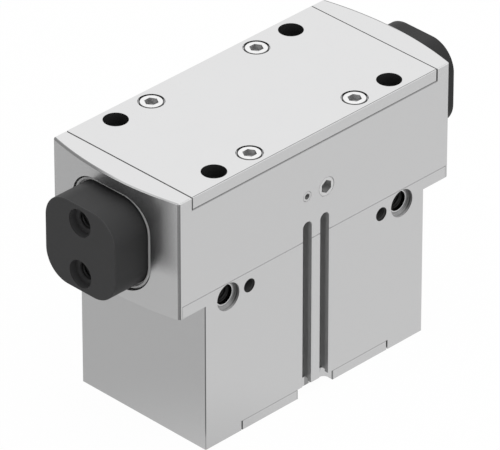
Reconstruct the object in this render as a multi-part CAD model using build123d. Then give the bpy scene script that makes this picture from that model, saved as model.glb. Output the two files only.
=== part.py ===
from build123d import *
from math import atan, cos
import os

# Sealed parallel gripper. Frame: X along the jaws' travel, front face at -Y,
# Z up, zero at the underside of the cylinder body. Drawn with the jaws open
# and the piston at the bottom of its stroke. Sizes in millimetres.

# Housing
housing_length = 130.3        # between the vertical corners
housing_width = 60.7
total_height = 104.15
end_bulge = 3.7               # how far each end face arches out in the middle
corner_chamfer = 0.6
edge_break = 0.4
recess_break = 0.25           # edges round the recess of the cover
seam_height = 63.05           # joint between the housing and the cylinder body
flange_thickness = 4.9
skirt_thickness = 1.3         # end wall that hides the end of the flange
tongue_half_width = 13.9      # thicker middle of each end wall, below the seam
tongue_depth = 4.2
joint_gap = 0.1

# Cover
cover_length = 118.5
cover_thickness = 5.05
cover_gap = 0.3
cover_chamfer = 0.3
mount_x = 42.2
mount_inset = 6.7             # mount holes and cover screws, in from the long sides
mount_clearance_d = 9.0
mount_thread_d = 6.8          # M8 core
mount_thread_depth = 22.0
thread_lead_in = 0.7          # countersink at the mouth of a thread
cover_screw_x = 25.3
cover_screw_head_d = 8.5
cover_screw_head = 3.4
cover_screw_shank_d = 5.0
cover_screw_length = 14.0
cover_screw_sink = 0.05
cover_screw_hexagon = 4.5
cover_socket_share = 0.7      # depth of the socket over the head's height
counterbore_d = 9.6

# Cylinder body
body_length = 106.35
body_chamfer = 0.3
seam_chamfer = 0.3
plate_length = 71.0
plate_thickness = 3.8
plate_end_gap = 0.45
plate_chamfer = 0.2
notch_half_width = 8.6
notch_depth = 4.3
notch_corner = 2.0
bore_d = 40.0
bore_top = 40.0

# Small countersunk screws through the flange and the bottom plate
small_head_d = 7.4
small_shank_d = 4.0
small_hexagon = 2.5
small_socket_depth = 1.8
small_screw_room = 9.0        # depth of the clearance hole
flange_screw_inset = 8.3
flange_screw_end_inset = 5.5
flange_screw_length = 14.0
plate_screw_x = 29.5
plate_screw_inset = 9.3
plate_screw_length = 12.0

# Dowel pins between the body and the housing
pin_x = 33.0
pin_inset = 6.3
pin_d = 5.0
pin_depth = 9.0               # into the body below the seam
pin_rise = 8.0                # into the housing above the seam

# Front face
seat_d = 10.6                 # centring seat in front of each M8 thread
seat_thread_d = 6.8
front_seat_x = 42.2
front_seat_drop = 5.8         # below the seam
front_seat_depth = 2.1
front_step_d = 7.6
front_step_depth = 1.2
front_thread_depth = 11.0
port_x = 32.1
port_d = 5.2
port_depth = 7.0
channel_d = 3.0
channel_across = 0.88         # where the air channels enter the bore, as shares of its radius
channel_forward = 0.3
slot_x = 4.2
slot_mouth = 4.3
slot_lip = 1.6
slot_inner = 6.4
slot_depth = 5.6
slot_rise = 7.2               # closed end of the slots above the seam
plug_rise = 17.35             # plugs above the seam
large_plug_x = 5.0
large_plug_d = 7.4
large_plug_hexagon = 4.5
small_plug_x = 4.3
small_plug_d = 4.0
small_plug_hexagon = 2.1
plug_recess = 0.05
plug_length = 7.0
plug_socket_share = 0.45      # depth of the socket over the plug's diameter
plug_turn = 30                # degrees that put two socket corners up and down

# Jaws
jaw_web_below = 0.86          # housing left between the jaw and the seam
jaw_web_above = 1.55          # housing left between the jaw and the cover
jaw_corner_share = 0.6225     # corner radius over half the jaw's width
jaw_pitch_share = 1.2         # distance of the two threads over half the jaw's width
jaw_face_x = 82.05            # face of an open jaw
jaw_stroke = 12.0
jaw_clearance = 0.05
jaw_edge = 0.3
jaw_tip_lift = 2.1            # blunt part of the jaw's inner end
jaw_seat_d = 10.4
jaw_seat_depth = 3.0
jaw_thread_depth = 15.0

# Seals round each jaw
pocket_offset = 2.0           # from the jaw's outline to the pocket wall
pocket_floor_x = 61.65
frame_front_x = 66.7
frame_base = 0.8
frame_lip = 1.2
frame_round = 0.5
wiper_thickness = 1.6
wiper_lip = 0.8
cushion_thickness = 1.4
seal_gap = 0.04

# Wedge drive
wedge_ratio = 0.75            # jaw travel for each unit of piston travel
hook_dip = 3.65               # foot of the hook below the seam
hook_headroom = 2.2           # left under the cover at the top of the stroke
hook_foot = 14.6              # half length of the hook's core at its foot
hook_core_y = 9.0
rail_neck_y = 4.0
rail_head_y = 8.0
rail_neck = 2.5
rail_head = 3.5
rail_clearance = 0.1
drive_gap = 0.8               # round the hook where it dips below the jaws
well_corner = 3.0
well_rise = 9.5               # how far the well runs up behind the jaws

# Static seals
housing_seal_section = 2.0
groove_depth_share = 0.85     # groove depth over the seal's thickness
groove_spare = 0.3            # room beside a static seal
housing_seal_offset = 1.9     # from the well to the seal
bottom_seal_r = 21.9
bottom_seal_section = 1.4

# Piston
piston_clearance = 0.1
piston_base_height = 6.0
magnet_height = 4.0
piston_crown_height = 6.0
piston_chamfer = 0.6
hub_d = 22.0
magnet_d = 37.6
piston_seal_height = 2.6
piston_seal_depth = 3.0
wear_band_height = 1.6
wear_band_depth = 1.5
crown_land = 0.9              # above the crown's seal
wear_land = 0.7               # below the wear band
bolt_head_d = 10.0
bolt_head = 4.6
bolt_d = 6.0
bolt_length = 16.0
bolt_hexagon = 5.0

# Piston rod and its guide
rod_d = 12.0
rod_clearance = 0.03
rod_spigot_d = 10.0
rod_spigot_length = 7.0
rod_seat_lift = 2.0           # spigot's end above the piston base, shoulder below the crown's top
bumper_inner_d = 24.0
bumper_outer_d = 32.0
bumper_depth = 1.2
bumper_stand = 0.4            # how far the lower bumper stands out of the piston
bumper_gap = 0.2
bumper_room = 2.0             # between the upper bumper and the rod bush
bush_d = 16.0
bush_web = 2.0                # metal between the bush and the rod seal
rod_pocket_d = 19.0
rod_pocket_height = 6.6
gland_height = 2.2

# Screws in general
head_chamfer_share = 0.035
tip_chamfer_share = 0.12
screw_rim = 0.3               # upright rim of a countersunk head
drill_tip = 0.4               # blunt end of a drilled point
socket_drill_share = 0.96     # drilled point of a socket over its width across flats
socket_point_share = 0.25     # height of that point over the same width
drill_point = 2.0             # length of the point under a thread core

cut = 1.0                     # how far a cut runs past the surface it starts from
fit = 0.05                    # looseness of seals, screws and plugs in their places

piston_stroke = jaw_stroke / wedge_ratio
half_length = housing_length / 2
half_width = housing_width / 2
body_half = body_length / 2
flange_bottom = seam_height - flange_thickness
cover_floor = total_height - cover_thickness
flange_half = half_length - skirt_thickness
flange_screw_x = flange_half - flange_screw_end_inset
mount_y = half_width - mount_inset
flange_screw_y = half_width - flange_screw_inset
plate_screw_y = half_width - plate_screw_inset
pin_y = half_width - pin_inset
front_seat_z = seam_height - front_seat_drop
slot_top = seam_height + slot_rise
plug_z = seam_height + plug_rise
bore_r = bore_d / 2
jaw_half = (cover_floor - seam_height - jaw_web_below - jaw_web_above) / 2
jaw_corner = jaw_corner_share * jaw_half
jaw_hole_pitch = jaw_pitch_share * jaw_half
jaw_axis_z = seam_height + jaw_web_below + jaw_half
hook_bottom = seam_height - hook_dip
hook_top = cover_floor - piston_stroke - hook_headroom
hook_floor = hook_bottom - drive_gap
bush_top = hook_floor - rod_pocket_height - bush_web
piston_bottom = plate_thickness + bumper_gap + bumper_stand
slant = atan(wedge_ratio)     # lean of the hook's flanks from the vertical


def upright(d, z0, z1, x=0, y=0):
    """Upright cylinder of diameter d between two heights."""
    return Pos(x, y, z0) * Cylinder(d / 2, z1 - z0, align=(Align.CENTER, Align.CENTER, Align.MIN))


def upright_cone(d0, d1, z0, z1, x=0, y=0):
    """Upright cone from diameter d0 at height z0 to diameter d1 at height z1."""
    cone = Cone(d0 / 2, d1 / 2, z1 - z0, align=(Align.CENTER, Align.CENTER, Align.MIN))
    return Pos(x, y, z0) * cone


def from_front(tool, x, z):
    """Turn an upright tool whose foot is at zero so that it enters the front face."""
    return Pos(x, -half_width, z) * Rot(-90, 0, 0) * tool


def from_end(tool, x, z, side):
    """Turn an upright tool whose foot is at zero so that it enters a jaw's face."""
    return Pos(side * x, 0, z) * Rot(0, -side * 90, 0) * tool


def block(x0, x1, y0, y1, z0, z1):
    return Pos((x0 + x1) / 2, (y0 + y1) / 2, (z0 + z1) / 2) * Box(x1 - x0, y1 - y0, z1 - z0)


def rounded_block(half_x, half_y, corner, z0, z1):
    """Upright block with rounded corners, centred on the Z axis."""
    outline = Plane.XY.offset(z0) * RectangleRounded(2 * half_x, 2 * half_y, corner)
    return extrude(outline, z1 - z0)


def jaw_prism(offset, x0, x1, side=1):
    """The jaw's rounded-square section, grown by offset, between two distances from the middle."""
    size = 2 * (jaw_half + offset)
    outline = Plane.YZ * Pos(0, jaw_axis_z) * RectangleRounded(size, size, jaw_corner + offset)
    start = x0 if side > 0 else -x1
    return Pos(start, 0, 0) * extrude(outline, x1 - x0)


def bulged_block(z0, z1):
    """Full-length block whose two end faces arch outward."""
    tip = half_length + end_bulge
    right = ThreePointArc((half_length, -half_width), (tip, 0), (half_length, half_width))
    back = Line((half_length, half_width), (-half_length, half_width))
    left = ThreePointArc((-half_length, half_width), (-tip, 0), (-half_length, -half_width))
    front = Line((-half_length, -half_width), (half_length, -half_width))
    outline = make_face([right, back, left, front])
    solid = extrude(Plane.XY.offset(z0) * outline, z1 - z0)
    upright_edges = solid.edges().filter_by(Axis.Z)
    return chamfer(upright_edges, corner_chamfer)


def flank_x(z):
    """Half length of the hook's core at height z."""
    return hook_foot + wedge_ratio * (z - hook_bottom)


def flank_strip(z0, z1, out0, out1, half_y, side=1):
    """Slanting slab that runs along a flank of the hook, between two distances square to it."""
    near = out0 / cos(slant)
    far = out1 / cos(slant)
    corners = [(side * (flank_x(z0) + near), z0), (side * (flank_x(z0) + far), z0),
               (side * (flank_x(z1) + far), z1), (side * (flank_x(z1) + near), z1)]
    face = make_face(Polyline(corners, close=True))
    return extrude(Plane.XZ * face, half_y, both=True)


def ring(outer_d, inner_d, z0, z1, x=0, y=0):
    return upright(outer_d, z0, z1, x, y) - upright(inner_d, z0 - cut, z1 + cut, x, y)


def hexagon_socket(across_flats, depth, turn=0):
    """Upright hexagon socket with a drilled point, foot at zero, to be cut out."""
    prism = extrude(RegularPolygon(across_flats / 2, 6, major_radius=False, rotation=turn), depth)
    tip = depth + across_flats * socket_point_share
    return prism + upright_cone(across_flats * socket_drill_share, drill_tip, depth, tip)


def socket_screw(head_d, head_height, shank_d, length, across_flats, socket_depth):
    """Cylinder-head screw, head top at zero, shank hanging down."""
    head = upright(head_d, -head_height, 0)
    head = chamfer(head.edges().group_by(Axis.Z)[-1], head_d * head_chamfer_share)
    shank = upright(shank_d, -head_height - length, -head_height)
    shank = chamfer(shank.edges().group_by(Axis.Z)[0], shank_d * tip_chamfer_share)
    return head + shank - Rot(180, 0, 0) * hexagon_socket(across_flats, socket_depth)


def countersunk_screw(head_d, shank_d, length, across_flats, socket_depth):
    """Countersunk screw, head face at zero, shank standing up."""
    slope_top = screw_rim + (head_d - shank_d) / 2
    head = upright(head_d, 0, screw_rim) + upright_cone(head_d, shank_d, screw_rim, slope_top)
    shank = upright(shank_d, 0, length)
    shank = chamfer(shank.edges().group_by(Axis.Z)[-1], shank_d * tip_chamfer_share)
    return head + shank - hexagon_socket(across_flats, socket_depth)


def countersunk_hole(head_d, shank_d, depth):
    """Room for a countersunk screw, mouth at zero, going up."""
    rim = screw_rim + joint_gap
    mouth_d = head_d + 3 * joint_gap
    neck_d = shank_d + 2 * joint_gap
    room = upright(mouth_d, -cut, rim) + upright(neck_d, -cut, depth)
    return room + upright_cone(mouth_d, neck_d, rim, rim + (head_d - shank_d) / 2 + fit)


def at_corners(thing, x, y):
    return [Pos(sx * x, sy * y, 0) * thing for sx in (-1, 1) for sy in (-1, 1)]


def sensor_slots(z0, z1, closed_top):
    """Undercut slots for position sensors, cut from the front face."""
    slots = []
    for x in (-slot_x, slot_x):
        top = z1 - slot_mouth / 2 if closed_top else z1
        mouth = block(x - slot_mouth / 2, x + slot_mouth / 2, -half_width - cut,
                      -half_width + slot_lip + fit, z0, top)
        inner = block(x - slot_inner / 2, x + slot_inner / 2, -half_width + slot_lip,
                      -half_width + slot_depth, z0, top)
        slots += [mouth, inner]
        if closed_top:
            slots.append(from_front(upright(slot_mouth, -cut, slot_lip + fit), x, top))
            slots.append(from_front(upright(slot_inner, slot_lip, slot_depth), x, top))
    return slots


def threaded_seat(mouth_d, seat_depth, step_d, step_depth, thread_depth):
    """Centring seat, short step and thread core, mouth at zero, going up."""
    seat = upright(mouth_d, -cut, seat_depth)
    step = upright(step_d, 0, seat_depth + step_depth)
    core = upright(seat_thread_d, 0, thread_depth)
    core += upright_cone(seat_thread_d, drill_tip, thread_depth, thread_depth + drill_point)
    return seat + step + core


def drilling(start, end, diameter):
    """Round passage between two points."""
    path = Line(start, end)
    across = Plane(origin=start, z_dir=path % 0)
    return extrude(across * Circle(diameter / 2), path.length)


# Upper housing: guide bore for the jaws, seal pockets, room for the hook
housing = bulged_block(flange_bottom, total_height)
top_rim = housing.edges().group_by(Axis.Z)[-1]
housing = chamfer(top_rim, edge_break)
housing -= block(-cover_length / 2, cover_length / 2, -half_width - cut, half_width + cut,
                 cover_floor, total_height + cut)
recess_rim = housing.edges().filter_by(lambda e: abs(e.center().Z - cover_floor) < 0.01)
recess_rim = recess_rim.filter_by(lambda e: abs(abs(e.center().Y) - half_width) < 0.01)
housing = chamfer(recess_rim, recess_break)
inner_rim = housing.edges().filter_by(lambda e: abs(e.center().Z - total_height) < 0.01)
inner_rim = inner_rim.filter_by(lambda e: abs(abs(e.center().X) - cover_length / 2) < 0.01)
housing = chamfer(inner_rim, recess_break)
flange_room = block(-flange_half - joint_gap, flange_half + joint_gap, -half_width - cut,
                    half_width + cut, flange_bottom - cut, seam_height)
tongue_x = flange_half - tongue_depth
for side in (-1, 1):
    tongue = block(0, tongue_depth + cut, -tongue_half_width, tongue_half_width,
                   flange_bottom - 2 * cut, seam_height + cut)
    flange_room -= Pos(tongue_x if side > 0 else -tongue_x - tongue_depth - cut, 0, 0) * tongue
housing -= flange_room
outside = half_length + end_bulge + cut
housing -= jaw_prism(jaw_clearance, -outside, outside)
for side in (-1, 1):
    housing -= jaw_prism(pocket_offset, pocket_floor_x, outside, side)
hook_reach = flank_x(seam_height + jaw_web_below) + (rail_neck + rail_head) / cos(slant)
well_x = hook_reach + drive_gap
well_y = hook_core_y + drive_gap
housing -= rounded_block(well_x, well_y, well_corner, seam_height - cut, seam_height + well_rise)
housing -= sensor_slots(seam_height - cut, slot_top, True)
mount_core = upright(mount_thread_d, cover_floor - mount_thread_depth, cover_floor + cut)
mount_core += upright_cone(mount_thread_d, mount_thread_d + 2 * thread_lead_in,
                           cover_floor - thread_lead_in, cover_floor)
housing -= at_corners(mount_core, mount_x, mount_y)
cover_screw_top = total_height - cover_screw_sink
screw_end = cover_screw_top - cover_screw_head - cover_screw_length
screw_core = upright(cover_screw_shank_d, screw_end - cut, cover_floor + cut)
housing -= at_corners(screw_core, cover_screw_x, mount_y)
flange_core = upright(small_shank_d, seam_height - cut, flange_bottom + flange_screw_length + cut)
housing -= at_corners(flange_core, flange_screw_x, flange_screw_y)
for x in (-pin_x, pin_x):
    housing -= upright(pin_d, seam_height - cut, seam_height + pin_rise + cut, x, pin_y)
wall = half_width - jaw_half
for x, d in ((large_plug_x, large_plug_d), (-small_plug_x, small_plug_d)):
    housing -= from_front(upright(d, -cut, plug_length + cut) + upright(d / 2, 0, wall + cut), x, plug_z)

# Cover plate
cover = block(-cover_length / 2 + cover_gap, cover_length / 2 - cover_gap, -half_width, half_width,
              cover_floor, total_height)
cover = chamfer(cover.edges(), cover_chamfer)
cover -= at_corners(upright(mount_clearance_d, cover_floor - cut, total_height + cut), mount_x, mount_y)
counterbore = upright(counterbore_d, cover_screw_top - cover_screw_head, total_height + cut)
counterbore += upright(cover_screw_shank_d + 2 * cover_gap, cover_floor - cut, total_height)
cover -= at_corners(counterbore, cover_screw_x, mount_y)

cover_screw = socket_screw(cover_screw_head_d, cover_screw_head, cover_screw_shank_d - 2 * fit,
                           cover_screw_length, cover_screw_hexagon, cover_screw_head * cover_socket_share)
cover_screws = at_corners(Pos(0, 0, cover_screw_top) * cover_screw, cover_screw_x, mount_y)

# Cylinder body with its flange
body = block(-body_half, body_half, -half_width, half_width, 0, seam_height)
body = chamfer(body.edges().filter_by(Axis.Z), body_chamfer)
flange = block(-flange_half, flange_half, -half_width, half_width, flange_bottom, seam_height)
for side in (-1, 1):
    gap = block(0, tongue_depth + cut, -tongue_half_width - joint_gap, tongue_half_width + joint_gap,
                flange_bottom - cut, seam_height + cut)
    edge = tongue_x - joint_gap
    flange -= Pos(edge if side > 0 else -edge - tongue_depth - cut, 0, 0) * gap
body += flange
rim = body.edges().filter_by(Axis.X).filter_by_position(Axis.Z, seam_height - 0.01, seam_height + 0.01)
rim = rim.filter_by(lambda e: abs(abs(e.center().Y) - half_width) < 0.01)
body = chamfer(rim, seam_chamfer)
plate_room = plate_length / 2 + plate_end_gap
body -= block(-plate_room, plate_room, -half_width - cut, half_width + cut, -cut, plate_thickness)
body -= upright(bore_d, plate_thickness - cut, bore_top)
body -= upright(bush_d, bore_top - cut, bush_top + cut)
body -= upright(rod_d + 10 * joint_gap, bore_top - cut, seam_height)
body -= upright(rod_pocket_d, hook_floor - rod_pocket_height, seam_height)
body -= rounded_block(well_x, well_y, well_corner, hook_floor, seam_height + cut)
body -= sensor_slots(plate_thickness - cut, seam_height + cut, False)
seat = threaded_seat(seat_d, front_seat_depth, front_step_d, front_step_depth, front_thread_depth)
for side in (-1, 1):
    body -= from_front(seat, side * front_seat_x, front_seat_z)
    body -= from_front(upright(port_d, -cut, port_depth), side * port_x, front_seat_z)
    end_z = bore_top - channel_d / 2 if side < 0 else plate_thickness + channel_d / 4
    body -= drilling((side * port_x, -half_width + port_depth - channel_d / 2, front_seat_z),
                     (side * bore_r * channel_across, -bore_r * channel_forward, end_z), channel_d)


def frame_band(inner, width, z0, z1):
    """Closed rounded band round the well, from an inner offset outward."""
    outer = inner + width
    band = rounded_block(well_x + outer, well_y + outer, well_corner + outer, z0, z1)
    return band - rounded_block(well_x + inner, well_y + inner, well_corner + inner, z0 - cut, z1 + cut)


groove_floor = seam_height - groove_depth_share * housing_seal_section
body -= frame_band(housing_seal_offset - groove_spare, housing_seal_section + 2 * groove_spare,
                   groove_floor, seam_height + cut)
bottom_groove = ring(2 * bottom_seal_r + bottom_seal_section + 2 * groove_spare,
                     2 * bottom_seal_r - bottom_seal_section - 2 * groove_spare,
                     plate_thickness - cut, plate_thickness + bottom_seal_section)
body -= bottom_groove
small_hole = countersunk_hole(small_head_d, small_shank_d, small_screw_room)
body -= at_corners(Pos(0, 0, flange_bottom) * small_hole, flange_screw_x, flange_screw_y)
plate_core = upright(small_shank_d, plate_thickness - cut, plate_screw_length + cut)
body -= at_corners(plate_core, plate_screw_x, plate_screw_y)
for x in (-pin_x, pin_x):
    body -= upright(pin_d, seam_height - pin_depth - cut, seam_height + cut, x, pin_y)

housing_seal = frame_band(housing_seal_offset, housing_seal_section, groove_floor + fit,
                          seam_height - fit / 2)
bottom_seal_z = plate_thickness + bottom_seal_section / 2
bottom_seal = Pos(0, 0, bottom_seal_z) * Torus(bottom_seal_r, (bottom_seal_section - fit) / 2)

# Bottom plate
plate = block(-plate_length / 2, plate_length / 2, -half_width, half_width, 0, plate_thickness)
plate = chamfer(plate.edges().filter_by(Axis.Z) + plate.edges().group_by(Axis.Z)[-1], plate_chamfer)
notch_outline = RectangleRounded(2 * notch_half_width, 2 * notch_depth, notch_corner)
notch = Plane.XY.offset(-cut) * Pos(0, -half_width) * notch_outline
plate -= extrude(notch, plate_thickness + 2 * cut)
plate -= at_corners(small_hole, plate_screw_x, plate_screw_y)

small_screw = countersunk_screw(small_head_d, small_shank_d - 2 * fit, plate_screw_length,
                                small_hexagon, small_socket_depth)
plate_screws = at_corners(small_screw, plate_screw_x, plate_screw_y)
flange_screw = countersunk_screw(small_head_d, small_shank_d - 2 * fit, flange_screw_length,
                                 small_hexagon, small_socket_depth)
flange_screws = at_corners(Pos(0, 0, flange_bottom) * flange_screw, flange_screw_x, flange_screw_y)
pin = upright(pin_d, seam_height - pin_depth, seam_height + pin_rise)
pin = chamfer(pin.edges(), pin_d * tip_chamfer_share / 2)
pins = [Pos(x, pin_y, 0) * pin for x in (-pin_x, pin_x)]


def sealed_plug(d, across_flats, x):
    """Set screw in the front face, nearly flush, with two corners of its socket up and down."""
    plug = upright(d - 2 * fit, 0, plug_length)
    plug = chamfer(plug.edges(), d * head_chamfer_share / 2)
    plug -= hexagon_socket(across_flats, d * plug_socket_share, plug_turn)
    return from_front(Pos(0, 0, plug_recess) * plug, x, plug_z)


def jaw(side):
    """Square jaw with its slanting undercut slot at the inner end."""
    inner_x = flank_x(jaw_axis_z - jaw_half + jaw_tip_lift) + rail_clearance
    solid = jaw_prism(0, inner_x, jaw_face_x, side)
    outer = solid.faces().sort_by(Axis.X)[-1 if side > 0 else 0]
    solid = fillet(outer.edges(), jaw_edge)
    low = jaw_axis_z - 2 * jaw_half
    high = jaw_axis_z + 2 * jaw_half
    edge = rail_clearance
    solid -= flank_strip(low, high, -half_length, edge, half_width, side)
    solid -= flank_strip(low, high, -cut, rail_neck + 2 * edge, rail_neck_y + edge, side)
    solid -= flank_strip(low, high, rail_neck - edge, rail_neck + rail_head + edge,
                         rail_head_y + edge, side)
    seat_tool = threaded_seat(jaw_seat_d, jaw_seat_depth, seat_thread_d, fit,
                              jaw_seat_depth + jaw_thread_depth)
    for lift in (-jaw_hole_pitch / 2, jaw_hole_pitch / 2):
        solid -= from_end(seat_tool, jaw_face_x, jaw_axis_z + lift, side)
    return solid


def seal_frame(side):
    """Thin lip round the jaw on a wider foot that sits at the bottom of the pocket."""
    foot = pocket_floor_x + wiper_thickness
    solid = jaw_prism(pocket_offset - seal_gap, foot, foot + frame_base, side)
    upstand = jaw_prism(seal_gap * 2 + frame_lip, foot, frame_front_x, side)
    face = upstand.faces().sort_by(Axis.X)[-1 if side > 0 else 0]
    solid += fillet(face.edges(), frame_round)
    return solid - jaw_prism(seal_gap * 2, 0, outside, side)


def jaw_wiper(side):
    """Rubber scraper with a thinner lip toward the jaw."""
    middle = pocket_floor_x + wiper_thickness / 2
    end = pocket_floor_x + wiper_thickness
    solid = jaw_prism(pocket_offset - seal_gap, pocket_floor_x, middle, side)
    solid += jaw_prism(seal_gap + wiper_lip, pocket_floor_x, end - fit, side)
    return solid - jaw_prism(seal_gap, 0, outside, side)


def seal_cushion(side):
    """Rubber band between the lip of the frame and the pocket wall."""
    start = pocket_floor_x + wiper_thickness + frame_base
    solid = jaw_prism(pocket_offset - seal_gap, start, start + cushion_thickness, side)
    return solid - jaw_prism(seal_gap * 3 + frame_lip, 0, outside, side)


# Wedge hook: core between the jaws with a T-shaped rail on each flank
core = make_face(Polyline([(-hook_foot, hook_bottom), (hook_foot, hook_bottom),
                           (flank_x(hook_top), hook_top), (-flank_x(hook_top), hook_top)], close=True))
hook = extrude(Plane.XZ * core, hook_core_y, both=True)
for side in (-1, 1):
    hook += flank_strip(hook_bottom, hook_top, -cut, rail_neck + cut / 2, rail_neck_y, side)
    hook += flank_strip(hook_bottom, hook_top, rail_neck, rail_neck + rail_head, rail_head_y, side)
hook -= upright(rod_spigot_d, hook_bottom - cut, hook_bottom + rod_spigot_length)

# Piston: base and crown clamp the magnet ring between them
base_top = piston_bottom + piston_base_height
magnet_top = base_top + magnet_height
crown_top = magnet_top + piston_crown_height
piston_d = bore_d - 2 * piston_clearance
sliding_d = bore_d - 2 * rod_clearance


def piston_groove(z0, height, depth):
    return ring(piston_d + 2 * cut, piston_d - 2 * depth, z0, z0 + height)


piston_base = upright(piston_d, piston_bottom, base_top)
piston_base = chamfer(piston_base.edges().group_by(Axis.Z)[0], piston_chamfer)
base_groove_z = piston_bottom + (piston_base_height - piston_seal_height) / 2
piston_base -= piston_groove(base_groove_z, piston_seal_height, piston_seal_depth)
bolt_top = piston_bottom + bolt_head + 4 * fit
bolt_room_d = bolt_d + 8 * fit
piston_base -= upright(bolt_head_d + 8 * fit, piston_bottom - cut, bolt_top)
piston_base -= upright(bolt_room_d, piston_bottom, base_top + cut)
bumper_seat = ring(bumper_outer_d + 2 * fit, bumper_inner_d - 2 * fit, piston_bottom - cut,
                   piston_bottom + bumper_depth)
piston_base -= bumper_seat
lower_bumper = ring(bumper_outer_d, bumper_inner_d, piston_bottom - bumper_stand,
                    piston_bottom + bumper_depth)

piston_crown = upright(hub_d, base_top, magnet_top) + upright(piston_d, magnet_top, crown_top)
piston_crown = chamfer(piston_crown.edges().group_by(Axis.Z)[-1], piston_chamfer)
crown_groove_z = crown_top - piston_seal_height - crown_land
piston_crown -= piston_groove(crown_groove_z, piston_seal_height, piston_seal_depth)
wear_groove_z = magnet_top + wear_land
piston_crown -= piston_groove(wear_groove_z, wear_band_height, wear_band_depth)
rod_seat_z = base_top + rod_seat_lift
piston_crown -= upright(rod_spigot_d, rod_seat_z, crown_top)
piston_crown -= upright(bolt_room_d, base_top - cut, rod_seat_z + cut)
rod_shoulder_z = crown_top - rod_seat_lift
piston_crown -= upright(rod_d, rod_shoulder_z, crown_top + cut)

magnet = ring(magnet_d, hub_d + 2 * fit, base_top + fit, magnet_top - fit)


def piston_seal(z):
    """Lip seal: full-depth band with a relieved middle."""
    groove_d = piston_d - 2 * piston_seal_depth
    band = ring(sliding_d, groove_d + fit, z + fit, z + piston_seal_height - fit)
    relief = piston_seal_height / 3
    return band - ring(bore_d + cut, bore_d - cut, z + relief, z + 2 * relief)


piston_seals = [piston_seal(base_groove_z), piston_seal(crown_groove_z)]
wear_band = ring(sliding_d, piston_d - 2 * wear_band_depth + fit, wear_groove_z + fit,
                 wear_groove_z + wear_band_height - fit)

rod = upright(rod_spigot_d, rod_seat_z, hook_bottom + rod_spigot_length)
rod += upright(rod_d, rod_shoulder_z, hook_bottom)
rod -= upright(bolt_d, rod_seat_z - cut, bolt_top + bolt_length + cut)
bolt = socket_screw(bolt_head_d, bolt_head, bolt_d - 2 * fit, bolt_length, bolt_hexagon, 0.6 * bolt_head)
bolt = Pos(0, 0, bolt_top - bolt_head) * Rot(180, 0, 0) * bolt

# Rod guide in the cylinder body
upper_bumper = ring(bumper_outer_d, bush_d + 2 * bumper_room, crown_top + piston_stroke + bumper_gap,
                    bore_top - fit / 2)
rod_bush = ring(bush_d, rod_d + 2 * rod_clearance, bore_top + joint_gap, bush_top)
gland_bottom = hook_floor - gland_height
rod_gland = ring(rod_pocket_d, rod_d + 5 * joint_gap, gland_bottom, hook_floor)
seal_bottom = hook_floor - rod_pocket_height
rod_seal = ring(rod_pocket_d - 2 * fit, rod_d + 2 * rod_clearance, seal_bottom + fit, gland_bottom - fit)
lip_thickness = (rod_pocket_d - rod_d) / 6
rod_seal -= ring(rod_pocket_d - 2 * lip_thickness, rod_d + 2 * lip_thickness,
                 seal_bottom + rod_pocket_height / 3, gland_bottom + cut)

os.makedirs("parts", exist_ok=True)
nodes = {
    "upper_housing": housing,
    "cover_plate": cover,
    "cover_screws": cover_screws,
    "cylinder_body": body,
    "bottom_plate": plate,
    "bottom_plate_screws": plate_screws,
    "flange_screws": flange_screws,
    "dowel_pins": pins,
    "housing_seal": housing_seal,
    "bottom_seal": bottom_seal,
    "large_plug": sealed_plug(large_plug_d, large_plug_hexagon, large_plug_x),
    "small_plug": sealed_plug(small_plug_d, small_plug_hexagon, -small_plug_x),
    "jaw_left": jaw(-1),
    "jaw_right": jaw(1),
    "seal_frame_left": seal_frame(-1),
    "seal_frame_right": seal_frame(1),
    "jaw_wiper_left": jaw_wiper(-1),
    "jaw_wiper_right": jaw_wiper(1),
    "seal_cushion_left": seal_cushion(-1),
    "seal_cushion_right": seal_cushion(1),
    "wedge_hook": hook,
    "piston_base": piston_base,
    "piston_crown": piston_crown,
    "piston_magnet": magnet,
    "piston_seals": piston_seals,
    "wear_band": wear_band,
    "piston_rod": rod,
    "piston_bolt": bolt,
    "lower_bumper": lower_bumper,
    "upper_bumper": upper_bumper,
    "rod_bush": rod_bush,
    "rod_seal": rod_seal,
    "rod_gland": rod_gland,
}
for name, thing in nodes.items():
    piece = Compound(children=thing) if isinstance(thing, list) else thing
    export_step(piece, f"parts/{name}.step")
    print(name, round(piece.volume / 1000, 2))
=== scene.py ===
import math
import bpy
import numpy as np
from mathutils import Matrix, Vector


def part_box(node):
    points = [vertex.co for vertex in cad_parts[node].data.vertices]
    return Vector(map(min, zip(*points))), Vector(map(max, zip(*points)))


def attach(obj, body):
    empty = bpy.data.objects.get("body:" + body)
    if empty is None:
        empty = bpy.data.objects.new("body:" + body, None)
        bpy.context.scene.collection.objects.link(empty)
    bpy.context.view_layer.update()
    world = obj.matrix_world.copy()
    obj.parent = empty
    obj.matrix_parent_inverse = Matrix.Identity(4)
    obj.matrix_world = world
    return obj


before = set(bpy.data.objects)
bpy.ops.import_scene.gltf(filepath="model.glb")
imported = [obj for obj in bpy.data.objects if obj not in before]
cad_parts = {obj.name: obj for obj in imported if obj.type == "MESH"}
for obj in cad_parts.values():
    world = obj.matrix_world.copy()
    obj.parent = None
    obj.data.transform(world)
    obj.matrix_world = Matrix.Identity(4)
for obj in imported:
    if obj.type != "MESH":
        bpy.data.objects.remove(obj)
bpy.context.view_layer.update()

mm = 0.001
print("frame loaded:", len(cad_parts), "nodes")


# Sizes that the looks share with the model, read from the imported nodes
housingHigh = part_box("upper_housing")[1]
bodyLow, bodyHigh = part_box("cylinder_body")
coverLow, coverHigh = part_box("cover_plate")
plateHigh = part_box("bottom_plate")[1]
jawLow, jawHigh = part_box("jaw_left")
jawAxisZ = (jawLow.z + jawHigh.z) / 2
frontY = bodyLow.y


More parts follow.
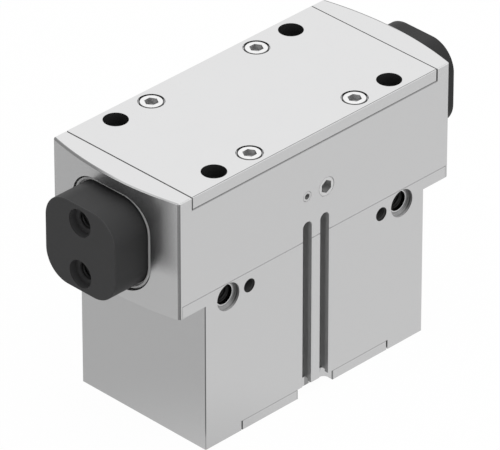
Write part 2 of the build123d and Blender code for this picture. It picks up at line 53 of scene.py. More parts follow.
# One wrapped socket. Sums and products of sockets add their Math nodes.
class Wire:
    def __init__(self, tree, socket):
        self.tree = tree
        self.socket = socket

    # any node: its type, its settings, its inputs by name or number, and the output that is used
    def node(self, kind, settings=None, inputs=None, output=0):
        made = self.tree.nodes.new(kind)
        for name, setting in (settings or {}).items():
            setattr(made, name, setting)
        for name, value in (inputs or {}).items():
            if isinstance(value, Wire):
                self.tree.links.new(value.socket, made.inputs[name])
            else:
                made.inputs[name].default_value = value
        return Wire(self.tree, made.outputs[output])

    def maths(self, operation, first, second=0.0, third=0.0):
        return self.node("ShaderNodeMath", {"operation": operation},
                         {0: first, 1: second, 2: third})

    def __add__(self, other):
        return self.maths("ADD", self, other)

    def __radd__(self, other):
        return self.maths("ADD", other, self)

    def __sub__(self, other):
        return self.maths("SUBTRACT", self, other)

    def __rsub__(self, other):
        return self.maths("SUBTRACT", other, self)

    def __mul__(self, other):
        return self.maths("MULTIPLY", self, other)

    def __rmul__(self, other):
        return self.maths("MULTIPLY", other, self)

    def __truediv__(self, other):
        return self.maths("DIVIDE", self, other)

    def __rtruediv__(self, other):
        return self.maths("DIVIDE", other, self)

    def __pow__(self, other):
        return self.maths("POWER", self, other)

    def __abs__(self):
        return self.maths("ABSOLUTE", self)

    def __gt__(self, other):
        return self.maths("GREATER_THAN", self, other)

    def __lt__(self, other):
        return self.maths("LESS_THAN", self, other)

    def between(self, low, high):
        return (self > low) * (self < high)

    # 0 below low, 1 above high, smooth in between
    def ramp(self, low, high):
        return self.node("ShaderNodeMapRange", {"interpolation_type": "SMOOTHSTEP"},
                         {"Value": self, "From Min": low, "From Max": high})


def grey(value):
    return (value, value, value, 1.0)


# how far a point lies from a middle, measured along two axes
def distanceFrom(first, second, middleFirst, middleSecond):
    return ((first - middleFirst) ** 2.0 + (second - middleSecond) ** 2.0) ** 0.5


# the other tone where the mask is 1, the tone itself where it is 0
def paint(tone, mask, other):
    return tone * (1 - mask) + mask * other


# A new material and its object coordinates, in millimetres, as wires
class Finish:
    def __init__(self, name):
        self.material = bpy.data.materials.new(name)
        self.material.use_nodes = True
        self.tree = self.material.node_tree
        self.shader = self.tree.nodes["Principled BSDF"]
        start = Wire(self.tree, None)
        self.place = start.node("ShaderNodeTexCoord", output="Object")
        self.x = self.axis(0) * 1000
        self.y = self.axis(1) * 1000
        self.z = self.axis(2) * 1000

    def axis(self, number):
        return self.place.node("ShaderNodeSeparateXYZ", None, {0: self.place}, number)

    # grain between 0 and 1; stretch is the size of a grain along X, Y and Z in millimetres
    def grain(self, stretch, detail=3.0, roughness=0.55):
        scale = tuple(1000 / size for size in stretch)
        stretched = self.place.node("ShaderNodeMapping", None,
                                    {"Vector": self.place, "Scale": scale})
        return self.place.node("ShaderNodeTexNoise", {"noise_dimensions": "3D"},
                               {"Vector": stretched, "Scale": 1.0, "Detail": detail,
                                "Roughness": roughness}, "Fac")

    def bump(self, height, distance, strength=1.0):
        return height.node("ShaderNodeBump", None,
                           {"Height": height, "Distance": distance, "Strength": strength})

    # one tone for the three colours, each with its own share
    def colour(self, tone, red=1.0, green=1.0, blue=1.0):
        parts = [tone if share == 1.0 else tone * share for share in (red, green, blue)]
        return self.place.node("ShaderNodeCombineColor", None, dict(enumerate(parts)))

    def finish(self, **sockets):
        for name, value in sockets.items():
            label = {"baseColor": "Base Color", "roughness": "Roughness", "metallic": "Metallic",
                     "normal": "Normal"}[name]
            if isinstance(value, Wire):
                self.tree.links.new(value.socket, self.shader.inputs[label])
            else:
                self.shader.inputs[label].default_value = value
        return self.material


# Clear anodised aluminium: fine blasted grain, with painted shade on the upright corners, in
# the joint lines and gaps, and in the threads, ports, mount holes and slots
aluminium = {
    "tone": 0.86,
    "cornerShadeTone": 0.62,
    "jointShadeTone": 0.40,
    "gapShadeTone": 0.15,
    "slotShadeTone": 0.33,
    "holeShadeTone": 0.03,
    "runOutShadeTone": 0.42,
    "notchShadeTone": 0.3,
    "grain": (0.35, 0.35, 0.35),
    "mottle": (9.0, 9.0, 9.0),
    "grainStrength": 0.03,
    "mottleStrength": 0.015,
    "blueShare": 1.004,
    "roughness": 0.15,
    "roughnessMottle": 0.05,
    "metallic": 0.98,
    "holeLessMetallic": 0.8,
    "slotLessMetallic": 0.9,
    "bumpDistance": 0.00001,
    "bumpStrength": 0.08,
}
# Shares of the joint shade tone on the painted shade lines that are lighter or darker than the
# recess's
jointShares = {"coverLip": 0.7, "coverFoot": 0.4, "seam": 1.2, "plateTop": 0.8, "frontEdge": 1.3}
# Middles, ends and radii on the outside, in millimetres. The two upright corners are given by
# the sum of |x| and |y| on their chamfers.
places = {
    "coverFloor": coverLow.z / mm,
    "coverEnd": coverHigh.x / mm,
    "seam": bodyHigh.z / mm,
    "housingCorner": 94.88,
    "bodyCorner": 83.205,
    "bodyEnd": 53.3,
    "flangeBottom": 58.14,
    "front": bodyLow.y / mm,
    "archTop": housingHigh.x / mm,
    "archDrop": 3.7,
    "archFrom": 50.0,
    "mountX": 42.2,
    "mountY": 23.65,
    "mountRadius": 4.52,
    "coverScrewX": 25.3,
    "frontZ": 57.25,
    "threadRadius": 3.85,
    "threadFrom": 2.15,
    "threadTo": 16.0,
    "portX": 32.1,
    "portRadius": 2.62,
    "portFrom": 0.05,
    "portTo": 9.0,
    "slotX": 4.2,
    "slotHalf": 3.3,
    "slotTop": 70.4,
    "slotFrom": 0.03,
    "slotTo": 6.0,
    "plateTop": plateHigh.z / mm,
    "top": housingHigh.z / mm,
    "plateEnd": plateHigh.x / mm,
    "notchHalf": 8.6,
    "jawHoleUp": 10.092,
    "runOutHalf": 1.0,
    "runOutFrom": 0.4,
    "runOutTo": 9.0,
}
# Widths of the painted shade lines, in millimetres
lineWidths = {
    "housingGap": 0.32,
    "gapBehindFront": 0.05,
    "coverGap": 0.17,
    "coverGapMoreAtRight": 0.2,
    "topEdge": 0.16,
    "frontEdge": 0.3,
    "coverFoot": 0.5,
    "recessHalf": 0.27,
    "recessPastCover": 0.3,
    "seam": 0.45,
    "plateEnd": 0.25,
    "plateTop": 0.22,
    "notchEdgeHalf": 0.3,
    "notchEdgeDepth": 0.5,
    "mountBelowTop": 0.02,
}
# Turned seats on the front, painted darker: rings of painted light and shade on floor and wall, and
# a painted shadow on the wall's right side
seats = {
    "radius": 5.35,
    "innerEdge": 4.05,
    "from": 0.03,
    "tone": 0.43,
    "ringLightAndShade": 0.11,
    "ringsAcross": 7.0,
    "ringsInward": 5.0,
    "shadowFrom": 4.7,
    "shadowRamp": (1.5, 5.0),
    "shadowTone": 0.28,
    "lessMetallic": 0.6,
    "moreRoughness": 0.25,
}
# Arched ends: painted soft shade beside the jaws, a painted dark band for the jaw's mirror image
# fading toward the front corner, a painted lighter foot, and painted shade on the rounded top edge,
# more at the rear
archedEnds = {
    "skin": 0.35,
    "reach": 0.032,
    "samples": 8,
    "strength": 1.75,
    "least": 0.05,
    "shadeUp": (73.0, 80.0),
    "shadeAcross": (12.0, -8.0),
    "fadeIn": (-20.5, -24.0),
    "fadeOut": (-30.5, -24.5),
    "fadeUp": (74.0, 84.0),
    "paintedMirrorShare": 0.33,
    "footUp": (72.0, 82.0),
    "footLightShare": 0.10,
    "edgeHeight": 0.3,
    "edgeRamp": (0.0, 0.7),
    "edgeShadeShare": 0.5,
    "rearEdgeHeight": 0.65,
    "rearEdgeWidth": 0.8,
    "rearEdgeAcross": (-8.0, 8.0),
    "rearEdgeShadeShare": 0.6,
    "moreRoughness": 0.09,
}


# painted shade in the gaps at both ends, on the lip along the front edge and on the foot in the
# recess
def paintCover(skin, tone, depth):
    at = places
    gap = at["coverEnd"] - lineWidths["coverGap"] - (skin.x > 0) * lineWidths["coverGapMoreAtRight"]
    tone = paint(tone, abs(skin.x) > gap, aluminium["gapShadeTone"])
    lip = (skin.z > at["top"] - lineWidths["topEdge"]) * (depth < lineWidths["frontEdge"])
    tone = paint(tone, lip, aluminium["jointShadeTone"] * jointShares["coverLip"])
    foot = skin.z < at["coverFloor"] + lineWidths["coverFoot"]
    return paint(tone, foot, aluminium["jointShadeTone"] * jointShares["coverFoot"])


# painted shade at the plate's ends and top, where the slots' ends run out into the notch, and on
# its two upright edges
def paintPlate(skin, tone, depth):
    at = places
    sideways = abs(skin.x)
    tone = paint(tone, sideways > at["plateEnd"] - lineWidths["plateEnd"], aluminium["gapShadeTone"])
    tone = paint(tone, skin.z > at["plateTop"] - lineWidths["plateTop"],
                 aluminium["jointShadeTone"] * jointShares["plateTop"])
    runOut = (sideways < at["runOutHalf"]) * depth.between(at["runOutFrom"], at["runOutTo"])
    tone = paint(tone, runOut, aluminium["runOutShadeTone"])
    notchEdge = abs(sideways - at["notchHalf"]) < lineWidths["notchEdgeHalf"]
    return paint(tone, notchEdge * (depth < lineWidths["notchEdgeDepth"]), aluminium["notchShadeTone"])


# painted shade in the threads and ports, and on the turned seats, which keep a bright inner edge;
# also gives the seats' mask
def paintFront(skin, tone, depth):
    at = places
    sideways = abs(skin.x)
    seat = distanceFrom(sideways, skin.z, at["mountX"], at["frontZ"])
    port = distanceFrom(sideways, skin.z, at["portX"], at["frontZ"])
    dark = (seat < at["threadRadius"]) * depth.between(at["threadFrom"], at["threadTo"])
    dark = dark + (port < at["portRadius"]) * depth.between(at["portFrom"], at["portTo"])
    tone = paint(tone, dark, aluminium["holeShadeTone"])
    turned = (seat < seats["radius"]) * depth.between(seats["from"], at["threadFrom"])
    # rings of painted light and shade across the seat's floor and wall
    rings = skin.place.maths("SINE", seat * seats["ringsAcross"] + depth * seats["ringsInward"])
    toRight = skin.x - skin.place.maths("SIGN", skin.x) * at["mountX"]
    shadow = (seat > seats["shadowFrom"]) * toRight.ramp(*seats["shadowRamp"])
    # painted darker seat tone, with the rings and a painted shadow on its right side
    ringed = seats["tone"] + rings * seats["ringLightAndShade"] - shadow * seats["shadowTone"]
    return paint(tone, turned * (seat > seats["innerEdge"]), ringed), turned


# painted shade, painted mirror image, painted lighter foot and painted edge shade of the arched
# ends; also gives the ends' mask
def paintEnds(skin, tone, depth):
    size, at = archedEnds, places
    sideways = abs(skin.x)
    # painted shade beside the jaws from an occlusion node, on their front side and upper part
    light = skin.place.node("ShaderNodeAmbientOcclusion", {"samples": size["samples"]},
                            {"Distance": size["reach"]}, "AO")
    inset = at["archTop"] - at["archDrop"] * (skin.y / at["front"]) ** 2.0 - sideways
    below = skin.z < at["top"] - size["edgeHeight"]
    ends = (inset < size["skin"]) * (sideways > at["archFrom"]) * below
    shade = ends * (1 - light) * skin.z.ramp(*size["shadeUp"]) * skin.y.ramp(*size["shadeAcross"])
    tone = tone * skin.place.maths("MAXIMUM", 1 - shade * size["strength"], size["least"])
    # painted dark band for the jaw's mirror image, fading toward the front corner
    paintedMirrorImage = skin.y.ramp(*size["fadeIn"]) * skin.y.ramp(*size["fadeOut"])
    paintedMirrorImage = paintedMirrorImage * skin.z.ramp(*size["fadeUp"])
    # painted lighter foot, low on the ends
    foot = 1 - skin.z.ramp(*size["footUp"])
    tone = tone * (1 - ends * paintedMirrorImage * size["paintedMirrorShare"]) * (1 + ends * foot * size["footLightShare"])
    # painted shade on the rounded top edge
    edge = (1 - inset.ramp(*size["edgeRamp"])) * (skin.z > at["top"] - size["edgeHeight"])
    tone = tone * (1 - edge * size["edgeShadeShare"])
    # more painted shade on the rear part of the top edge
    rearEdge = (inset < size["rearEdgeWidth"]) * (skin.z > at["top"] - size["rearEdgeHeight"])
    tone = tone * (1 - rearEdge * skin.y.ramp(*size["rearEdgeAcross"]) * size["rearEdgeShadeShare"])
    # painted shade line along the front top edge past the cover
    frontEdge = sideways > at["coverEnd"] + lineWidths["recessPastCover"]
    frontEdge = frontEdge * (skin.z > at["top"] - lineWidths["topEdge"])
    frontEdge = frontEdge * (depth < lineWidths["frontEdge"])
    return paint(tone, frontEdge, aluminium["jointShadeTone"] * jointShares["frontEdge"]), ends


def aluminiumFinish(name, *parts):
    skin = Finish(name)
    size, at = aluminium, places
    blasted = skin.grain(size["grain"])
    mottled = skin.grain(size["mottle"], 2.0)
    tone = size["tone"] * (1 + (blasted - 0.5) * size["grainStrength"]
                           + (mottled - 0.5) * size["mottleStrength"])
    roughness = size["roughness"] + (mottled - 0.5) * size["roughnessMottle"]
    metallic = size["metallic"]
    sideways = abs(skin.x)
    depth = skin.y - at["front"]
    if "housing" in parts:
        # painted shade on the housing's upright corner chamfers
        tone = paint(tone, (sideways + abs(skin.y)) > at["housingCorner"], size["cornerShadeTone"])
        # painted shade in the gap beside each end of the cover
        inGap = (sideways < at["coverEnd"] + lineWidths["housingGap"]) * (sideways > at["coverEnd"])
        inGap = inGap * (skin.z > at["coverFloor"]) * (depth > lineWidths["gapBehindFront"])
        tone = paint(tone, inGap, size["gapShadeTone"])
        # painted shade line at the cover's floor, along the recess
        line = abs(skin.z - at["coverFloor"]) < lineWidths["recessHalf"]
        line = line * (sideways < at["coverEnd"] + lineWidths["recessPastCover"])
        tone = paint(tone, line, size["jointShadeTone"])
    if "cover" in parts:
        tone = paintCover(skin, tone, depth)
    if "body" in parts:
        # painted shade on the body's upright corner chamfers
        corner = ((sideways + abs(skin.y)) > at["bodyCorner"]) * (sideways < at["bodyEnd"])
        tone = paint(tone, corner * (skin.z < at["flangeBottom"]), size["cornerShadeTone"])
        # painted shade along the body's top seam
        tone = paint(tone, skin.z > at["seam"] - lineWidths["seam"],
                     size["jointShadeTone"] * jointShares["seam"])
    if "plate" in parts:
        tone = paintPlate(skin, tone, depth)
    if "mounts" in parts:
        # painted shade in the mount holes, which are also made less metallic
        hole = distanceFrom(sideways, abs(skin.y), at["mountX"], at["mountY"]) < at["mountRadius"]
        hole = hole * (skin.z < at["top"] - lineWidths["mountBelowTop"])
        tone = paint(tone, hole, size["holeShadeTone"])
        metallic = metallic * (1 - hole * size["holeLessMetallic"])
    if "body" in parts:
        tone, turned = paintFront(skin, tone, depth)
        metallic = metallic * (1 - turned * seats["lessMetallic"])
        roughness = roughness + turned * seats["moreRoughness"]
    if "slots" in parts:
        # painted shade in the slots, which are also made less metallic
        slot = abs(sideways - at["slotX"]) < at["slotHalf"]
        slot = slot * depth.between(at["slotFrom"], at["slotTo"])
        tone = paint(tone, slot * (skin.z < at["slotTop"]), size["slotShadeTone"])
        metallic = metallic * (1 - slot * size["slotLessMetallic"])
    if "housing" in parts:
        tone, ends = paintEnds(skin, tone, depth)
        roughness = roughness + ends * archedEnds["moreRoughness"]
    return skin.finish(baseColor=skin.colour(tone, blue=size["blueShare"]), roughness=roughness,
                       metallic=metallic,
                       normal=skin.bump(blasted, size["bumpDistance"], size["bumpStrength"]))


# Hardened and blackened steel of the jaws, a little mottled, with painted shade on the sides, more
# on the right jaw, and lighter in the seats of the threads
jawSteel = {
    "tone": 0.042,
    "cloud": (6.0, 6.0, 6.0),
    "fine": (0.25, 0.25, 0.25),
    "mottle": 0.006,
    "blueShare": 1.02,
    "sideFrom": 0.25,
    "sideShadeShare": 0.36,
    "moreShadeAtRight": 0.25,
    "sideAround": 6.0,
    "seatFrom": 0.3,
    "seatRadius": 5.9,
    "seatShare": 0.7,
    "roughness": 0.42,
    "roughnessCloud": 0.12,
    "roughnessSide": 0.1,
    "metallic": 0.3,
    "bumpDistance": 0.00001,
    "bumpStrength": 0.3,
}


def jawFinish():
    skin = Finish("blackenedSteel")
    size = jawSteel
    cloud = skin.grain(size["cloud"], 4.0)
    fine = skin.grain(size["fine"], 2.0)
    tone = size["tone"] + (cloud - 0.5) * size["mottle"] + (fine - 0.5) * size["mottle"]
    bore = distanceFrom(skin.y, abs(skin.z - jawAxisZ / mm), 0.0, places["jawHoleUp"])
    sideways = abs(skin.x)
    face = -jawLow.x / mm
    side = (sideways < face - size["sideFrom"]) * (bore > size["sideAround"])
    seat = (bore < size["seatRadius"]) * (sideways < face - size["seatFrom"])
    # painted shade on the jaw's sides, more on the right jaw
    tone = tone * (1 - side * (size["sideShadeShare"] + (skin.x > 0) * size["moreShadeAtRight"]))
    tone = tone * (1 + seat * size["seatShare"])
    roughness = size["roughness"] + (cloud - 0.5) * size["roughnessCloud"]
    return skin.finish(baseColor=skin.colour(tone, blue=size["blueShare"]),
                       roughness=roughness + side * size["roughnessSide"],
                       metallic=size["metallic"],
                       normal=skin.bump(fine, size["bumpDistance"], size["bumpStrength"]))


# Turned, ground and cast metals of the small and inner pieces
metals = {
    "fine": (0.15, 0.15, 0.15),
    "cloud": (3.0, 3.0, 3.0),
    "fineStrength": 0.05,
    "cloudStrength": 0.06,
    "roughnessCloud": 0.1,
    "bumpDistance": 0.000006,
    "bumpStrength": 0.3,
}


def metalFinish(name, tone, roughness, warmth=0.0, metallic=1.0):
    skin = Finish(name)
    size = metals
    fine = skin.grain(size["fine"], 2.0)
    cloud = skin.grain(size["cloud"], 3.0)
    shade = tone * (1 + (cloud - 0.5) * size["cloudStrength"] + (fine - 0.5) * size["fineStrength"])
    return skin.finish(baseColor=skin.colour(shade, red=1 + warmth, blue=1 - warmth),
                       roughness=roughness + (cloud - 0.5) * size["roughnessCloud"],
                       metallic=metallic,
                       normal=skin.bump(fine, size["bumpDistance"], size["bumpStrength"]))


# Bright screws and plugs with painted shade in their hexagon sockets and a painted shade line round
# the head, in millimetres from the middle of the head or behind the front
screws = {
    "socketRadius": 2.7,
    "socketTop": 104.0,
    "socketShadeTone": 0.50,
    "headEdge": 3.98,
    "headEdgeShadeTone": 0.10,
    "plugSocketFrom": 0.12,
    "plugSocketShadeTone": 0.48,
    "plugEdge": 0.2,
    "plugEdgeShadeTone": 0.50,
    "roughness": 0.28,
    "metallic": 0.8,
}


# the cover's screws, or one plug on the front where its node is named
def screwFinish(name, tone, plug=None):
    skin = Finish(name)
    size = screws
    fine = skin.grain(metals["fine"], 2.0)
    shade = tone * (1 + (fine - 0.5) * metals["fineStrength"])
    if plug:
        low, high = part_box(plug)
        radius = (high.x - low.x) / 2 / mm
        outward = distanceFrom(skin.x, skin.z, (low.x + high.x) / 2 / mm, (low.z + high.z) / 2 / mm)
        # painted shade in the plug's hexagon socket and a painted shade line round its edge
        socket = (skin.y - places["front"]) > size["plugSocketFrom"]
        shade = paint(shade, socket, size["plugSocketShadeTone"])
        shade = paint(shade, outward > radius - size["plugEdge"], size["plugEdgeShadeTone"])
    else:
        outward = distanceFrom(abs(skin.x), abs(skin.y), places["coverScrewX"], places["mountY"])
        # painted shade in the screw's hexagon socket and a painted shade line round its head
        socket = (outward < size["socketRadius"]) * (skin.z < size["socketTop"])
        shade = paint(shade, socket, size["socketShadeTone"])
        shade = paint(shade, outward > size["headEdge"], size["headEdgeShadeTone"])
    return skin.finish(baseColor=skin.colour(shade), roughness=size["roughness"],
                       metallic=size["metallic"],
                       normal=skin.bump(fine, metals["bumpDistance"], metals["bumpStrength"]))


# Moulded rubber, matt and a little uneven
rubbers = {
    "fine": (0.2, 0.2, 0.2),
    "cloud": (4.0, 4.0, 4.0),
    "fineStrength": 0.003,
    "cloudStrength": 0.006,
    "roughness": 0.62,
    "roughnessFine": 0.1,
    "bumpDistance": 0.00002,
    "bumpStrength": 0.4,
}


def rubberFinish(name, tone):
    skin = Finish(name)
    size = rubbers
    fine = skin.grain(size["fine"], 2.0)
    cloud = skin.grain(size["cloud"], 2.0)
    tone = tone + cloud * size["cloudStrength"] + fine * size["fineStrength"]
    return skin.finish(baseColor=skin.colour(tone),
                       roughness=size["roughness"] + (fine - 0.5) * size["roughnessFine"],
                       normal=skin.bump(fine, size["bumpDistance"], size["bumpStrength"]))


def dress(material, *names):
    for name in names:
        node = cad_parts[name]
        node.data.materials.clear()
        node.data.materials.append(material)


dress(aluminiumFinish("housingAluminium", "housing", "mounts", "slots"), "upper_housing")
dress(aluminiumFinish("bodyAluminium", "body", "slots"), "cylinder_body")
dress(aluminiumFinish("coverAluminium", "cover", "mounts"), "cover_plate")
dress(aluminiumFinish("plateAluminium", "plate"), "bottom_plate")
dress(jawFinish(), "jaw_left", "jaw_right")
dress(screwFinish("brightScrewSteel", 0.95), "cover_screws")
dress(screwFinish("largePlugSteel", 0.84, "large_plug"), "large_plug")
dress(screwFinish("smallPlugSteel", 0.76, "small_plug"), "small_plug")
dress(metalFinish("screwSteel", 0.5, 0.32), "bottom_plate_screws", "flange_screws")
dress(metalFinish("sealFrameSteel", 0.62, 0.45, metallic=0.15),
      "seal_frame_left", "seal_frame_right")
dress(metalFinish("groundSteel", 0.5, 0.22),
      "wedge_hook", "piston_rod", "piston_bolt", "dowel_pins")
dress(metalFinish("turnedAluminium", 0.6, 0.3), "piston_base", "piston_crown")
dress(metalFinish("sinteredMagnet", 0.06, 0.6, metallic=0.4), "piston_magnet")
dress(metalFinish("bearingBronze", 0.4, 0.3, 0.3), "rod_bush", "rod_gland")
dress(metalFinish("wearPlastic", 0.6, 0.5, 0.03, metallic=0.0), "wear_band")
dress(rubberFinish("sealRubber", 0.14), "seal_cushion_left", "seal_cushion_right")
dress(rubberFinish("nitrileRubber", 0.014),
      "jaw_wiper_left", "jaw_wiper_right", "housing_seal", "bottom_seal",
      "piston_seals", "rod_seal", "lower_bumper", "upper_bumper")
print("materials on the frame's nodes")


def meshFrom(name, points, faces, smooth=True):
    mesh = bpy.data.meshes.new(name)
    mesh.from_pydata(points.reshape(-1, 3).tolist(), [], faces.tolist())
    mesh.polygons.foreach_set("use_smooth", np.full(len(faces), smooth))
    mesh.update()
    piece = bpy.data.objects.new(name, mesh)
    bpy.context.collection.objects.link(piece)
    return piece


# Faces of a closed tube of rows by columns points, both ways round
def torusFaces(rows, columns):
    row, column = np.meshgrid(np.arange(rows), np.arange(columns), indexing="ij")
    nextRow = (row + 1) % rows
    nextColumn = (column + 1) % columns
    corners = [row * columns + column, row * columns + nextColumn,
               nextRow * columns + nextColumn, nextRow * columns + column]
    return np.stack(corners, -1).reshape(-1, 4)


# Holes that carry a sleeve, in millimetres, measured in from the surface or as a height
jawHoles = {"face": 82.05, "seat": 3.0, "inset": 0.15, "radius": 3.4, "length": 13.5}
seatHoles = {"inset": 3.4, "radius": 3.4, "length": 7.4}
portHoles = {"inset": 0.3, "radius": 2.6, "length": 4.6, "pitch": 0.8}
mountHoles = {"mouthZ": 98.3, "radius": 3.4, "length": 12.0}
sides = ((-1, "left"), (1, "right"))

# Thread inside a bore. The profile goes down the bore along the crests and back up along the
# wall: radius = wall - depth * triangle(height / pitch - turn), with turn = angle / full circle,
# and height runs from the mouth inwards along the axis.
threads = {"pitch": 1.25, "depth": 0.45, "wallGap": 0.03, "crestGap": 0.08, "fade": 0.6,
           "stepsAround": 48, "stepsPerPitch": 6}


def threadInside(name, mouth, inwards, hole, body):
    size = threads
    length = hole["length"]
    pitch = hole.get("pitch", size["pitch"])
    steps = int(length / pitch * size["stepsPerPitch"])
    height = np.linspace(0.0, length, steps)
    angle = np.arange(size["stepsAround"]) / size["stepsAround"] * 2 * np.pi
    turn, depth = np.meshgrid(angle, height, indexing="ij")
    phase = (depth / pitch - turn / (2 * np.pi)) % 1.0
    wave = 1 - np.abs(2 * phase - 1)
    fade = np.clip(np.minimum(depth, length - depth) / (size["fade"] * pitch), 0.0, 1.0)
    wall = hole["radius"] - size["wallGap"]
    crest = wall - size["crestGap"] - size["depth"] * wave * fade
    ringRadius = np.concatenate([crest, np.full((size["stepsAround"], 2), wall)], 1)
    ringHeight = np.concatenate([depth, np.full((size["stepsAround"], 1), length),
                                 np.zeros((size["stepsAround"], 1))], 1)
    turn = np.concatenate([turn, turn[:, :2]], 1)
    axis = Vector(inwards).normalized()
    across = Vector((0, 0, 1)) if abs(axis.z) < 0.5 else Vector((1, 0, 0))
    side = axis.cross(across)
    axis, across, side = (np.array(v) for v in (axis, across, side))
    points = (np.array(mouth)
              + ringRadius[..., None] * mm * (np.cos(turn)[..., None] * across
                                              + np.sin(turn)[..., None] * side)
              + ringHeight[..., None] * mm * axis)
    piece = meshFrom(name, points, torusFaces(*ringRadius.shape))
    piece.data.materials.append(threadSteel)
    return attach(piece, body)


threadSteel = metalFinish("shadedThread", 0.045, 0.5, metallic=0.6)
frontZ = places["frontZ"] * mm
for side, word in sides:
    x = side * (jawHoles["face"] - jawHoles["seat"] - jawHoles["inset"]) * mm
    for lift, level in ((-1, "lower"), (1, "upper")):
        z = jawAxisZ + lift * places["jawHoleUp"] * mm
        threadInside(f"jaw_thread_{word}_{level}", (x, 0, z), (-side, 0, 0), jawHoles,
                     f"{word}_jaw")
    mountX = side * places["mountX"] * mm
    portX = side * places["portX"] * mm
    threadInside(f"front_thread_{word}", (mountX, frontY + seatHoles["inset"] * mm, frontZ),
                 (0, 1, 0), seatHoles, "gripper_body")
    threadInside(f"port_thread_{word}", (portX, frontY + portHoles["inset"] * mm, frontZ),
                 (0, 1, 0), portHoles, "gripper_body")
    for back, row in ((-1, "front"), (1, "rear")):
        mouth = (mountX, back * places["mountY"] * mm, mountHoles["mouthZ"] * mm)
        threadInside(f"mount_thread_{word}_{row}", mouth, (0, 0, -1), mountHoles, "gripper_body")
print("threads made")

# Light bead on each seal's lip, in millimetres: offsets from the jaw's outline, place of its
# root and front, rise of its level runs, rounding, how much wider its upright runs are, how far
# out its level runs lie, and the outline's corner over its half width
lipBead = {"inner": 0.15, "outer": 0.85, "root": 66.4, "front": 67.0, "rise": 0.85, "round": 0.2,
           "wider": 0.45, "levelOut": 0.42, "cornerShare": 0.6225, "arcSteps": 16, "stations": 192}


# Profile of six corners carried round a rounded square: P = path(s) + normal(s) * offset, with
# the front at x = front + rise * |normal z| and the rest behind it
def makeLipBead(name, side):
    size = lipBead
    half = (jawHigh.z - jawLow.z) / 2 / mm
    corner = half * size["cornerShare"]
    quarter = np.repeat(np.arange(4), size["arcSteps"])
    turn = (quarter + np.tile(np.linspace(0, 1, size["arcSteps"]), 4)) * np.pi / 2
    normal = np.stack([np.cos(turn), np.sin(turn)], 1)
    middle = np.array([[1, 1], [-1, 1], [-1, -1], [1, -1]])[quarter] * (half - corner)
    loop = np.concatenate([middle + normal * corner, normal], 1)
    loop = np.concatenate([loop, loop[:1]])
    length = np.concatenate([[0], np.cumsum(np.hypot(*np.diff(loop[:, :2], axis=0).T))])
    station = np.arange(size["stations"]) / size["stations"] * length[-1]
    y, z, normalY, normalZ = (np.interp(station, length, loop[:, k])[:, None] for k in range(4))
    inner, outer, rounding = size["inner"], size["outer"], size["round"]
    offset = np.array([[inner, inner, inner + rounding, outer - rounding, outer, outer]])
    offset = offset + np.array([[0, 0, 0, 1, 1, 1]]) * np.abs(normalY) * size["wider"]
    offset = offset + np.abs(normalZ) * size["levelOut"]
    y = y + normalY * offset
    z = z + normalZ * offset + jawAxisZ / mm
    front = size["front"] + size["rise"] * np.abs(normalZ)
    back = np.array([[0, rounding, 0, 0, rounding, 0]])
    x = np.where(np.array([[1, 0, 0, 0, 0, 1]]) > 0, size["root"], front - back)
    points = np.stack([x * side, y, z], -1)[::side] * mm
    piece = meshFrom(name, points, torusFaces(*x.shape))
    piece.data.materials.append(beadSteel)
    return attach(piece, "gripper_body")


beadSteel = metalFinish("beadSteel", 0.5, 0.5, metallic=0.15)
for side, word in sides:
    makeLipBead(f"lip_bead_{word}", side)
print("beads on the lips")


# Pale floor. The camera sees it nearly white, with a faint contact shadow; polished faces
# see it as a sweep that is brighter on the right of the object and dark on the camera's side.
# Across and toward run along the picture's width and to the camera, in metres.
stageSizes = {"half": 3.0, "drop": 0.0001, "tone": 0.80, "whiteShare": 0.97, "right": 0.625,
              "left": 0.44, "cameraSide": 0.2, "diagonal": 0.7071, "shift": 0.018,
              "sweepRamp": (-0.05, 0.05), "wedgeFrom": 0.062, "wedgeRamp": (0.15, 0.4),
              "least": 0.001}


def makeFloor():
    size = stageSizes
    corners = np.array([[-1, -1, 0], [1, -1, 0], [1, 1, 0], [-1, 1, 0]]) * size["half"]
    corners = corners - np.array([0, 0, size["drop"]])
    floor = meshFrom("studio_floor", corners, np.array([[0, 1, 2, 3]]), False)
    material = bpy.data.materials.new("paleFloor")
    material.use_nodes = True
    tree = material.node_tree
    tree.nodes.clear()
    start = Wire(tree, None)
    place = start.node("ShaderNodeTexCoord", output="Object")
    x = start.node("ShaderNodeSeparateXYZ", None, {0: place}, 0)
    y = start.node("ShaderNodeSeparateXYZ", None, {0: place}, 1)
    across = (x - y) * size["diagonal"] + size["shift"]
    toward = (x + y) * -size["diagonal"]
    sweep = across.ramp(*size["sweepRamp"]) * (size["right"] - size["left"]) + size["left"]
    ahead = start.maths("MAXIMUM", toward - size["wedgeFrom"], size["least"])
    wedge = (abs(across) / ahead).ramp(*size["wedgeRamp"])
    wedge = start.maths("MAXIMUM", wedge, toward < size["wedgeFrom"])
    sweep = sweep * wedge + (1 - wedge) * size["cameraSide"]
    camera = start.node("ShaderNodeLightPath", output="Is Camera Ray")
    glossy = start.node("ShaderNodeLightPath", output="Is Glossy Ray")
    white = start.node("ShaderNodeEmission", None, {"Color": grey(1.0), "Strength": 1.0})
    seen = start.node("ShaderNodeCombineColor", None, {0: sweep, 1: sweep, 2: sweep})
    mirrored = start.node("ShaderNodeEmission", None, {"Color": seen, "Strength": 1.0})
    matt = start.node("ShaderNodeBsdfDiffuse", None, {"Color": grey(size["tone"])})
    mixed = start.node("ShaderNodeMixShader", None,
                       {0: camera * size["whiteShare"], 1: matt, 2: white})
    mixed = start.node("ShaderNodeMixShader", None, {0: glossy, 1: mixed, 2: mirrored})
    tree.links.new(mixed.socket, tree.nodes.new("ShaderNodeOutputMaterial").inputs["Surface"])
    floor.data.materials.append(material)


makeFloor()

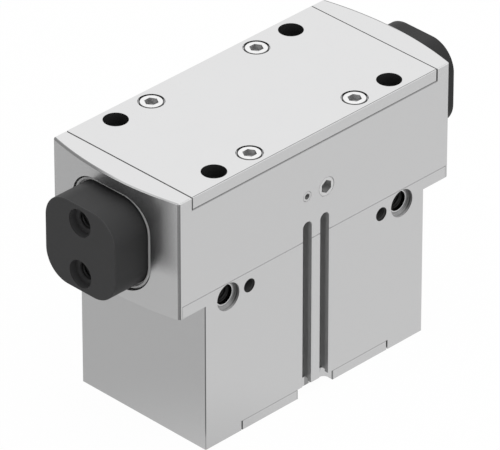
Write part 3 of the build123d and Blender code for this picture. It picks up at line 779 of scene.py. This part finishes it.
# Even light from all round, with its own strength for the camera and in mirror images
worldSizes = {"diffuse": 0.55, "mirrored": 0.88}


def makeWorld():
    world = bpy.data.worlds.new("studio")
    bpy.context.scene.world = world
    world.use_nodes = True
    tree = world.node_tree
    tree.nodes.clear()
    start = Wire(tree, None)
    camera = start.node("ShaderNodeLightPath", output="Is Camera Ray")
    glossy = start.node("ShaderNodeLightPath", output="Is Glossy Ray")
    diffuse = worldSizes["diffuse"]
    strength = camera * (1.0 - diffuse) + glossy * (worldSizes["mirrored"] - diffuse) + diffuse
    air = start.node("ShaderNodeBackground", None, {"Color": grey(1.0), "Strength": strength})
    tree.links.new(air.socket, tree.nodes.new("ShaderNodeOutputWorld").inputs["Surface"])


makeWorld()

# Soft boxes: each stands at an azimuth and elevation, turned to the middle of the object
lamps = {
    "overhead": {"azimuth": 20, "elevation": 80, "distance": 1.2, "size": 1.1, "power": 9.0},
    "front": {"azimuth": -5, "elevation": 25, "distance": 1.4, "size": 0.9, "power": 5.0},
    "rear": {"azimuth": 200, "elevation": 45, "distance": 1.4, "size": 0.9, "power": 3.0},
}
middle = Vector((0, 0, 0.055))


def direction(azimuth, elevation):
    a, e = math.radians(azimuth), math.radians(elevation)
    return Vector((math.sin(a) * math.cos(e), -math.cos(a) * math.cos(e), math.sin(e)))


for name, lamp in lamps.items():
    light = bpy.data.lights.new(name + "_softbox", "AREA")
    light.shape = "SQUARE"
    light.size = lamp["size"]
    light.energy = lamp["power"]
    box = bpy.data.objects.new(name + "_softbox", light)
    bpy.context.collection.objects.link(box)
    box.visible_glossy = False           # no hot spots on the satin metal
    away = direction(lamp["azimuth"], lamp["elevation"])
    box.location = middle + away * lamp["distance"]
    box.rotation_euler = away.to_track_quat("Z", "Y").to_euler()
print("stage and lamps")

# Long lens at the photograph's place: azimuth and elevation in degrees,
# aim is measured along the picture's own right and up from the middle of the object
cameraSizes = {
    "azimuth": -45.0,
    "elevation": 32.197,
    "distance": 2.43776,
    "baseHeight": 0.05132,
    "aimRight": -0.00104,
    "aimUp": 0.001944,
    "focalPixels": 7076.32,
    "imageWidth": 500,
    "sensorWidth": 36.0,
    "clipEnd": 20,
}


def makeCamera():
    size = cameraSizes
    back = direction(size["azimuth"], size["elevation"])
    a = math.radians(size["azimuth"])
    right = Vector((math.cos(a), math.sin(a), 0))
    up = back.cross(right)
    aim = Vector((0, 0, size["baseHeight"])) + right * size["aimRight"] + up * size["aimUp"]
    lens = bpy.data.cameras.new("photo_camera")
    lens.sensor_fit = "HORIZONTAL"
    lens.sensor_width = size["sensorWidth"]
    lens.lens = size["focalPixels"] / size["imageWidth"] * lens.sensor_width
    lens.clip_end = size["clipEnd"]
    camera = bpy.data.objects.new("photo_camera", lens)
    bpy.context.collection.objects.link(camera)
    turn = Matrix((right, up, back)).transposed().to_4x4()
    camera.matrix_world = Matrix.Translation(aim + back * size["distance"]) @ turn
    bpy.context.scene.camera = camera


makeCamera()
bpy.context.scene.view_settings.view_transform = "Standard"
print("camera set")
